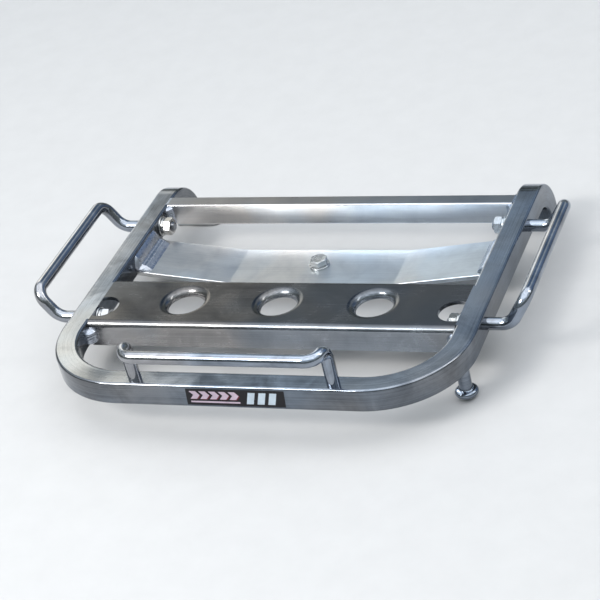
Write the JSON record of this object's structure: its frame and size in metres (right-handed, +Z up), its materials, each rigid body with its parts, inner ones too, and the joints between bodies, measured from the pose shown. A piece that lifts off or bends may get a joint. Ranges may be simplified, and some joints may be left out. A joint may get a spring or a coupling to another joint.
{
  "type": "motorcycle luggage carrier",
  "caption": "Tail luggage carrier: U-shaped rim of polished rectangular tube with a holed load plate, a crossbar, side handles, a tail hoop and rope hooks.",
  "frame": {"origin": "midway between the two foot bolt holes, on the underside of the feet", "axes": "+Z up, out of the load deck; +Y from the tail hoop towards the seat end; +X to the right seen from behind the tail"},
  "size_m": [0.416, 0.3201, 0.0806],
  "materials": {
    "polished_aluminium": "satin polish with fine draw lines",
    "mill_aluminium": "brushed, scuffed",
    "polished_bar": "bright polish",
    "zinc_steel": "zinc plated",
    "weld_metal": "rippled weld bead",
    "label_film": "gloss film with plain stripes"
  },
  "bodies": {
    "root": {"rim_tube": "polished_aluminium", "load_plate": "polished_aluminium", "crossbar": "polished_aluminium", "lower_bracket": "mill_aluminium", "left_handle": "polished_bar", "right_handle": "polished_bar", "tail_hoop": "polished_bar", "left_rope_hook": "polished_bar", "right_rope_hook": "polished_bar", "left_foot": "mill_aluminium", "right_foot": "mill_aluminium", "handle_nuts": "zinc_steel", "handle_spring_washers": "zinc_steel", "handle_washers": "zinc_steel", "hoop_screws": "zinc_steel", "hoop_washers": "zinc_steel", "centre_bolt": "zinc_steel", "centre_washer": "zinc_steel", "label": "label_film", "crossbar_welds": "weld_metal", "plate_welds": "polished_aluminium", "bracket_welds": "weld_metal", "foot_welds": "weld_metal", "hook_welds": "weld_metal"}
  },
  "joints": []
}
